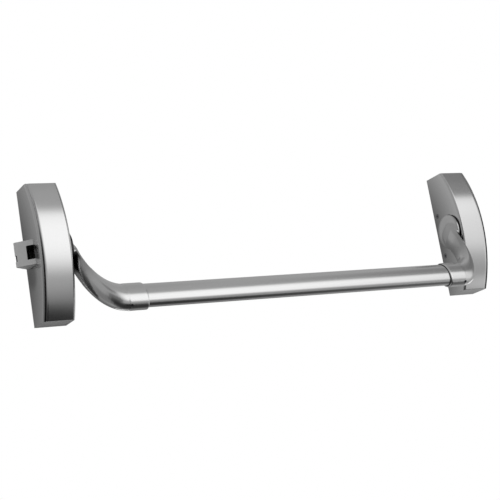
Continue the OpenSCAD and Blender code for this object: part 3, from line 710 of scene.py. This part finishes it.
# %% Wind the bolt springs
low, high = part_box("latch_springs")
wire_r, wire_sides, coil_turns, turn_steps = 0.4 * MM, 12, 10, 24
coil_r = (high.y - low.y) / 2 - wire_r
latch_springs = begin("latch_springs_shown", bpy.ops.mesh.primitive_circle_add, vertices=wire_sides,
                      radius=wire_r, location=(0, 0, coil_r), rotation=(pi / 2, 0, 0))
modify(latch_springs, "SCREW", axis="X", steps=turn_steps, render_steps=turn_steps, iterations=coil_turns,
       screw_offset=(high.x - low.x - 2 * wire_r) / coil_turns)
edit(latch_springs)
bpy.ops.mesh.select_all(action="SELECT")
bpy.ops.mesh.remove_doubles(threshold=1e-7)
bpy.ops.mesh.fill_holes(sides=0)
face_outwards()
bpy.ops.transform.translate(value=(low.x + wire_r, (low.y + high.y) / 2, low.z + coil_r + wire_r))
bpy.ops.mesh.duplicate_move(TRANSFORM_OT_translate={"value": (0, 0, high.z - low.z - 2 * (coil_r + wire_r))})
done()
bpy.ops.object.shade_smooth_by_angle(angle=smooth_angle)
print("springs:", in_mm(latch_springs.dimensions), "mm, CAD:", in_mm(high - low))

# %% [markdown]
# ## Placing the new pieces
# Each new piece rides on the CAD body that it belongs to, so it follows every pose, and it takes the place of
# the CAD piece that it was modelled after.

# %% Put the new pieces on their bodies
for piece, body, node in ((latch_housing, "cases", "latch_housing"), (idle_housing, "cases", "idle_housing"),
                          (latch_cover, "cases", "latch_front_cover"), (idle_cover, "cases", "idle_front_cover"),
                          (push_tube, "push_bar", "push_tube"), (latch_arm, "push_bar", "latch_arm"),
                          (idle_arm, "push_bar", "idle_arm"), (latch_bolt, "latch", "latch_bolt"),
                          (latch_springs, "cases", "latch_springs")):
    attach(piece, body)
    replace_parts(piece, node)
    print(piece.name, "rides on", body)
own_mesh(latch_springs)

# %% [markdown]
# ## Writing a finish down
# Every surface here is a small network of shader nodes. Two helpers keep such a network readable. A `Sheet` adds
# a node in one line: its type, its settings, and the values or links of its inputs. A `Value` is what comes out
# of a node, and it can be added and multiplied like a number, so that a formula looks like a formula.

# %% Helpers for shader networks
class Value:
    """The output of a node, which takes part in sums and products."""

    def __init__(self, sheet, socket):
        self.sheet, self.socket = sheet, socket

    def math(self, operation, a, b):
        return self.sheet.node("Math", {"operation": operation}, {0: a, 1: b})

    def __add__(self, other):
        return self.math("ADD", self, other)

    def __radd__(self, other):
        return self.math("ADD", other, self)

    def __sub__(self, other):
        return self.math("SUBTRACT", self, other)

    def __rsub__(self, other):
        return self.math("SUBTRACT", other, self)

    def __mul__(self, other):
        return self.math("MULTIPLY", self, other)

    def __rmul__(self, other):
        return self.math("MULTIPLY", other, self)


class Sheet:
    """A node tree that grows one node at a time."""

    def __init__(self, tree):
        self.tree = tree

    def node(self, kind, settings=None, inputs=None, output=0):
        made = self.tree.nodes.new("ShaderNode" + kind)
        for key, value in (settings or {}).items():
            setattr(made, key, value)
        for key, value in (inputs or {}).items():
            self.plug(made.inputs[key], value)
        return Value(self, made.outputs[output])

    def plug(self, socket, value):
        if isinstance(value, Value):
            self.tree.links.new(value.socket, socket)
        else:
            socket.default_value = value


# %% [markdown]
# All the metals follow one recipe. A single noise, scaled along X, Y and Z as the metal was worked, moves the
# colour between a light and a dark tone, the roughness up and down by its swing, and the surface by a hair. One
# noise for all three keeps them in step, as on a real surface, where a scratch changes all three at once.

# %% A recipe for metal finishes
finishes = {}
relief_height = 0.1 * MM


def grey(tone):
    """A colour with the same red, green and blue."""
    return tone, tone, tone


def metal(slot, metallic, light, dark, stretch, rough, rough_swing, relief):
    """A metal with one noise that moves its colour, its roughness and its relief."""
    material = bpy.data.materials.new(slot)
    material.use_nodes = True
    sheet = Sheet(material.node_tree)
    shader = sheet.tree.nodes["Principled BSDF"]
    place = sheet.node("Mapping", {}, {"Vector": sheet.node("TexCoord", output="Object"), "Scale": stretch})
    grain = sheet.node("TexNoise", {}, {"Vector": place, "Scale": 1, "Detail": 3, "Roughness": 0.6})
    colour = sheet.node("Mix", {"data_type": "RGBA"}, {0: grain, 6: (*dark, 1), 7: (*light, 1)}, output=2)
    bump = sheet.node("Bump", {}, {"Height": grain, "Strength": relief, "Distance": relief_height})
    sheet.plug(shader.inputs["Metallic"], metallic)
    sheet.plug(shader.inputs["Base Color"], colour)
    sheet.plug(shader.inputs["Roughness"], rough + rough_swing * (grain - 0.5))
    sheet.plug(shader.inputs["Normal"], bump)
    finishes[slot] = material
    return sheet, shader


# %% [markdown]
# ## The finishes that show
# Housings and arms are castings under a silver lacquer with fine metal flakes, so their noise is small and the
# same in every direction. Cover and tube are brushed: a brush leaves scratches along its path, so their noise is
# drawn out, down the cover and along the tube. The bolt is pressed from powder and stays matte and grainy.

# %% Finishes of the housings, covers, tube, arms and bolt
housing_finish = metal("housing_satin", 1.0, grey(0.90), grey(0.84), (1800, 1800, 1800), 0.22, 0.05, 0.02)
cover_finish = metal("cover_satin", 1.0, grey(0.91), grey(0.85), (3000, 60, 60), 0.16, 0.06, 0.03)
metal("tube_satin", 1.0, grey(0.91), grey(0.85), (25, 2500, 2500), 0.20, 0.06, 0.03)
arm_finish = metal("arm_cast", 1.0, grey(0.90), grey(0.86), (1800, 1800, 1800), 0.20, 0.04, 0.01)
bolt_finish = metal("bolt_sintered", 0.3, grey(0.60), grey(0.46), (2200, 2200, 2200), 0.55, 0.10, 0.5)
print("finishes that show:", ", ".join(finishes))

# %% [markdown]
# Some places on the metal are darker than the rest, most of them with painted shade. A darkening takes two
# things:
# a measure of how much of it there is at each point, and a tone to mix in. Most measures here are distances in
# the object's own coordinates, turned into a soft edge by a ramp, so a darkening stays in its place from any
# side.

# %% Helpers for darker places
def darkening(sheet, shader, amount, tone):
    """Mixes a grey tone into a finish, as far as the amount says."""
    colour = Value(sheet, shader.inputs["Base Color"].links[0].from_socket)
    mixed = sheet.node("Mix", {"data_type": "RGBA"}, {0: amount, 6: colour, 7: (*grey(tone), 1)}, output=2)
    sheet.plug(shader.inputs["Base Color"], mixed)
    print("a stain of tone", tone, "makes it", len(sheet.tree.nodes), "nodes")


def ramp(value, start, end):
    """Rises smoothly from 0 at the start to 1 at the end."""
    return value.sheet.node("MapRange", {"interpolation_type": "SMOOTHSTEP"},
                            {"Value": value, "From Min": start, "From Max": end})


def along(sheet, axis, kind="Object"):
    """One coordinate of a point, or of the normal there."""
    return sheet.node("SeparateXYZ", {}, {0: sheet.node("TexCoord", output=kind)}, output=axis)


def from_axis(sheet, y, z=0):
    """The distance of a point from an axis along X through y and z."""
    point = sheet.node("TexCoord", output="Object")
    flat = sheet.node("VectorMath", {"operation": "MULTIPLY"}, {0: point, 1: (0, 1, 1)})
    return sheet.node("VectorMath", {"operation": "DISTANCE"}, {0: flat, 1: (0, y, z)}, output="Value")


# %% [markdown]
# The flanks of a housing carry painted shade that deepens from the bowed front towards the door. Their measure is
# the distance from the bow's axis, which is the same all along the front edge.

# %% Darken the housings towards the door
door_shade_depth, door_shade_tone = 60 * MM, 0.30
sheet, shader = housing_finish
# painted shade, darker towards the door
door_shade = sheet.node("MapRange", {}, {"Value": from_axis(sheet, bow_y), "From Min": bow_r,
                                   "From Max": bow_r - door_shade_depth})
darkening(sheet, shader, door_shade, door_shade_tone)

# %% [markdown]
# The flank that the bolt comes out of carries a little painted shade all over, and a soft round spot of painted
# shadow lies below the bolt. The shade stops at the rim.

# %% Paint shade on the flank under the bolt
near_black_tone, flank_shade, bolt_shadow_strength = 0.05, 0.10, 0.45
bolt_shadow_y, bolt_shadow_z, bolt_shadow_r0, bolt_shadow_r1 = -20 * MM, -30 * MM, 8 * MM, 24 * MM
bolt_flank = ramp(along(sheet, "X"), -half_w + 2.5 * MM, -half_w + 0.5 * MM)
bolt_shadow = ramp(from_axis(sheet, bolt_shadow_y, bolt_shadow_z), bolt_shadow_r1, bolt_shadow_r0)
# painted shade on the whole bolt flank, and a painted shadow spot below the bolt
darkening(sheet, shader, bolt_flank * (flank_shade + bolt_shadow_strength * bolt_shadow), near_black_tone)

# %% [markdown]
# The groove between a cover and the outer flank carries painted shade, mostly in its lower half. The covers share
# one finish, so the measure is the distance from the outer edge of the nearer one, and it fades out upwards.

# %% Darken the covers along their grooves
groove_shade_tone, groove_w0, groove_w1 = 0.02, 0.9 * MM, 1.6 * MM
groove_z0, groove_z1 = -15 * MM, 70 * MM
sheet, shader = cover_finish
spot = along(sheet, "X")
from_edge = spot.math("MINIMUM", spot - cover_x0, pitch - cover_x0 - spot)
# painted shade along the outer groove
groove_shade = ramp(from_edge, groove_w1, groove_w0) * ramp(along(sheet, "Z"), groove_z1, groove_z0)
darkening(sheet, shader, groove_shade, groove_shade_tone)

# %% [markdown]
# An arm gets three dark zones. The rim of its hub, which turns inside the recess, is made black, a little further
# out on the latch side. The side of the blade that faces the case carries painted shade, black next to the hub.
# And the whole root of the arm is made a little darker, less so on the hub itself. Both arms share one finish, so
# places are measured from the nearer case, and directions are turned round for the arm on the right.

# %% Darken the roots of the arms
rim_x0, rim_x1, rim_shift = 25.35 * MM, 26.15 * MM, 0.75 * MM
lean, root_darkness = 0.2, 0.36
sheet, shader = arm_finish
spot, face = along(sheet, "X"), along(sheet, "X", "Normal")
inward = spot.math("MINIMUM", spot, pitch - spot)
side = 2 * spot.math("LESS_THAN", spot, pitch / 2) - 1
reach = from_axis(sheet, -hub_depth)
rim = ramp(reach, hub_r - 2.2 * MM, hub_r - 1.2 * MM) * ramp(inward - rim_shift * side, rim_x1, rim_x0)
# painted shade on the side of the blade that faces the case
case_side_shade = ramp(face * side + lean - lean * side, -0.1, -0.5) * ramp(reach, 46 * MM, 33 * MM)
root_dark = root_darkness * ramp(reach, 85 * MM, 45 * MM) * (1 - 0.5 * ramp(reach, 38 * MM, 22 * MM))
for zone in (root_dark, rim, case_side_shade):
    darkening(sheet, shader, zone, near_black_tone)

# %% [markdown]
# The inside of the bolt's fork and the small notch at its nose carry painted shade. Both are boxes in the bolt's
# own coordinates, so the measure is 1 inside the box and 0 outside. The boxes are a hair larger than the cuts, so
# that the walls of the cuts lie inside them.

# %% Darken the inside of the bolt
bolt_shade_tone, hair = 0.01, 0.1 * MM


def inside(sheet, low, high):
    """1 between two corners, 0 elsewhere."""
    amount = 1
    for axis, a, b in zip("XYZ", low, high):
        amount = amount * sheet.node("Math", {"operation": "COMPARE"},
                                     {0: along(sheet, axis), 1: (a + b) / 2, 2: (b - a) / 2})
    return amount


sheet, shader = bolt_finish
# painted shade inside the fork and in the notch
darkening(sheet, shader, inside(sheet, (fork_x0 - hair, -45 * MM, -fork_h - hair), (0, 0, fork_h + hair)), bolt_shade_tone)
notch_front = (tip_x + 0.3 * MM, notch_low.y - hair, notch_low.z - hair)
darkening(sheet, shader, inside(sheet, notch_front, [end + hair for end in notch_high]), bolt_shade_tone)

# %% [markdown]
# ## The finishes inside
# Some pieces only show when a cover is off or from the back. They get plain workshop finishes: zinc castings,
# zinc-plated sheet, turned steel, sintered bronze, and a black plastic and a rubber that are not metal at all.

# %% Finishes of the inner pieces
metal("chassis_zinc", 1.0, (0.60, 0.60, 0.58), (0.50, 0.50, 0.48), (700, 700, 700), 0.45, 0.12, 0.2)
metal("plate_zinc", 1.0, (0.68, 0.68, 0.66), (0.56, 0.56, 0.55), (150, 150, 150), 0.38, 0.15, 0.1)
metal("screw_black", 1.0, (0.30, 0.30, 0.31), (0.22, 0.22, 0.23), (1500, 1500, 1500), 0.35, 0.10, 0.1)
metal("steel", 1.0, (0.58, 0.59, 0.60), (0.50, 0.51, 0.52), (1500, 1500, 1500), 0.28, 0.10, 0.08)
metal("bush_bronze", 1.0, (0.62, 0.43, 0.21), (0.52, 0.35, 0.16), (1600, 1600, 1600), 0.42, 0.10, 0.2)
metal("sleeve_black", 0.0, grey(0.022), grey(0.014), (900, 900, 900), 0.5, 0.10, 0.1)
metal("buffer_rubber", 0.0, grey(0.034), grey(0.022), (1200, 1200, 1200), 0.75, 0.10, 0.2)
print(len(finishes), "finishes")

# %% [markdown]
# Each piece takes the finish that the record names for it. A new piece looks that up under the CAD piece that it
# stands for.

# %% Give every piece its finish
slots = {part["node"]: part["material_slot"] for part in frame["record"]["subparts"]}
shown = [(piece, piece["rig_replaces"][0]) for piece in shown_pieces() if "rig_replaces" in piece]
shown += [(piece, piece["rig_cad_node"]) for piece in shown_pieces() if "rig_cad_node" in piece]
for piece, node in shown:
    piece.data.materials.clear()
    piece.data.materials.append(finishes[slots[node]])
    "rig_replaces" in piece
print(len(shown), "pieces have a finish")

# %% [markdown]
# ## The light tent
# Satin metal shows its surroundings more than itself, so the surroundings are what we design. Photographers put
# shiny things into a tent of grey cloth and let light through in places. Ours is a large sphere that only shows
# in reflections. It is grey all over, and each soft patch on it pulls the grey towards a tone of its own: one
# bright window in front, a dark strip beside it where nothing is lit, a dark floor, and a dim back with two
# lights that the backs of the cases show.

# %% List the patches of the tent
patches = (  # degrees right of straight in front, degrees up, full out to, gone at, tone
    (18, -75, 16, 61, 0.03),
    (12, -48, 9, 19, 0.02),
    (-103, 59, 54, 60, 0.32),
    (182, -20, 7, 55, 0.15),
    (81, 30, 8, 30, 0.16),
    (39, -33, 6, 11, 0.30),
    (28, 22, 3, 37, 1.04),
    (58, 6, 3, 28, 0.70),
    (40, 52, 6, 15, 0.35),
    (-17, 48, 8, 13, 0.19),
    (-31, 2, 21, 26, 0.15),
    (-55, -35, 3, 52, 0.03),
    (-103, -15, 3, 40, 0.19),
    (57, 38, 3, 8, 0.23),
    (58, -28, 5, 10, 0.59),
    (-143, 24, 11, 18, 0.40),
    (112, -20, 8, 16, 1.00),
    (168, -30, 6, 12, 1.00),
)


def direction(turn, rise):
    """The way to a place on the tent, from its two angles in degrees."""
    turn, rise = radians(turn), radians(rise)
    return Vector((sin(turn) * cos(rise), -cos(turn) * cos(rise), sin(rise)))


print("tent with", len(patches), "patches")

# %% [markdown]
# A patch is round, so its measure is the angle between its own direction and the direction of a point on the
# cloth. The dot product of the two gives the cosine of that angle, and a smooth ramp makes the soft edge.

# %% Paint the tent
tent_r, cloth_tone = 6, 0.36
tent = begin("tent", bpy.ops.mesh.primitive_uv_sphere_add, segments=64, ring_count=32, radius=tent_r)
cloth = bpy.data.materials.new("tent_cloth")
cloth.use_nodes = True
sheet = Sheet(cloth.node_tree)
away = sheet.node("VectorMath", {"operation": "NORMALIZE"}, {0: sheet.node("TexCoord", output="Object")})
tone = cloth_tone
for turn, rise, full, gone, target in patches:
    near = sheet.node("VectorMath", {"operation": "DOT_PRODUCT"}, {0: away, 1: direction(turn, rise)},
                      output="Value")
    tone = tone + (target - tone) * ramp(near, cos(radians(gone)), cos(radians(full)))
glow = sheet.node("Emission", {}, {"Color": tone})
sheet.plug(sheet.tree.nodes["Material Output"].inputs["Surface"], glow)
tent.data.materials.append(cloth)
tent.visible_camera = tent.visible_diffuse = tent.visible_shadow = False
tent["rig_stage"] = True
print("cloth of", len(sheet.tree.nodes), "nodes")

# %% [markdown]
# The floor is pale and far below, since the bar hangs on a door and does not stand on anything. It is left out of
# reflections, where the tent has a floor of its own.

# %% Lay the floor
floor_place, floor_tone = (0.35, 0, -0.62), 0.9
floor = begin("floor", bpy.ops.mesh.primitive_plane_add, size=24, location=floor_place)
paint = bpy.data.materials.new("floor_paint")
paint.use_nodes = True
coat = paint.node_tree.nodes["Principled BSDF"]
coat.inputs["Base Color"].default_value = (*grey(floor_tone), 1)
coat.inputs["Roughness"].default_value = 0.9
floor.data.materials.append(paint)
floor.visible_glossy = False
floor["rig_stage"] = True
print("floor at z", floor_place[2])

# %% [markdown]
# The world is white for the camera, and a softer grey for everything that only scatters light. Two large lamps,
# one on each side of the camera, model the matte surfaces.

# %% Light the room
world = bpy.data.worlds.new("studio")
bpy.context.scene.world = world
world.use_nodes = True
sky = Sheet(world.node_tree)
camera_ray, glossy_ray, glass_ray = (sky.node("LightPath", output=f"Is {kind} Ray")
                                     for kind in ("Camera", "Glossy", "Transmission"))
seen = camera_ray + glossy_ray + glass_ray
white, soft = (sky.node("Background", {}, {"Color": (1, 1, 1, 1), "Strength": level}) for level in (1, 0.5))
daylight = sky.node("MixShader", {}, {0: seen, 1: soft, 2: white})
sky.plug(world.node_tree.nodes["World Output"].inputs["Surface"], daylight)

lamp_size = 1.4
for name, place, turn, power in (("left_lamp", (-1.6, -1.8, 1.2), (58, 0, -42), 14),
                                 ("right_lamp", (2.0, -1.8, 1.0), (62, 0, 42), 9)):
    bpy.ops.object.light_add(type="AREA", location=place, rotation=[radians(a) for a in turn])
    lamp = bpy.context.object
    lamp.name = name
    lamp.data.size, lamp.data.energy = lamp_size, power
    lamp.visible_glossy = False
    print(name, "with", power, "watts")

# %% [markdown]
# ## The camera
# The bar is seen from the left and from a little below, through a long lens, with the camera slightly rolled.

# %% Set up the camera
eye, eye_turn = (-0.59937, -1.69946, -0.42783), (102.5426, 9.4793, -26.4487)
lens, sensor = 95.6457, 36
bpy.ops.object.camera_add(location=eye, rotation=[radians(a) for a in eye_turn])
camera = bpy.context.object
camera.data.lens, camera.data.sensor_width = lens, sensor
bpy.context.scene.camera = camera
bpy.context.scene.view_settings.view_transform = "Standard"
print("camera with a lens of", round(lens, 1), "mm")

# %% [markdown]
# ## A last look at the size
# Finer edges must not make the bar larger or smaller, so the box of what is shown is worked out.

# %% Work out the box of what is shown
low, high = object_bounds()
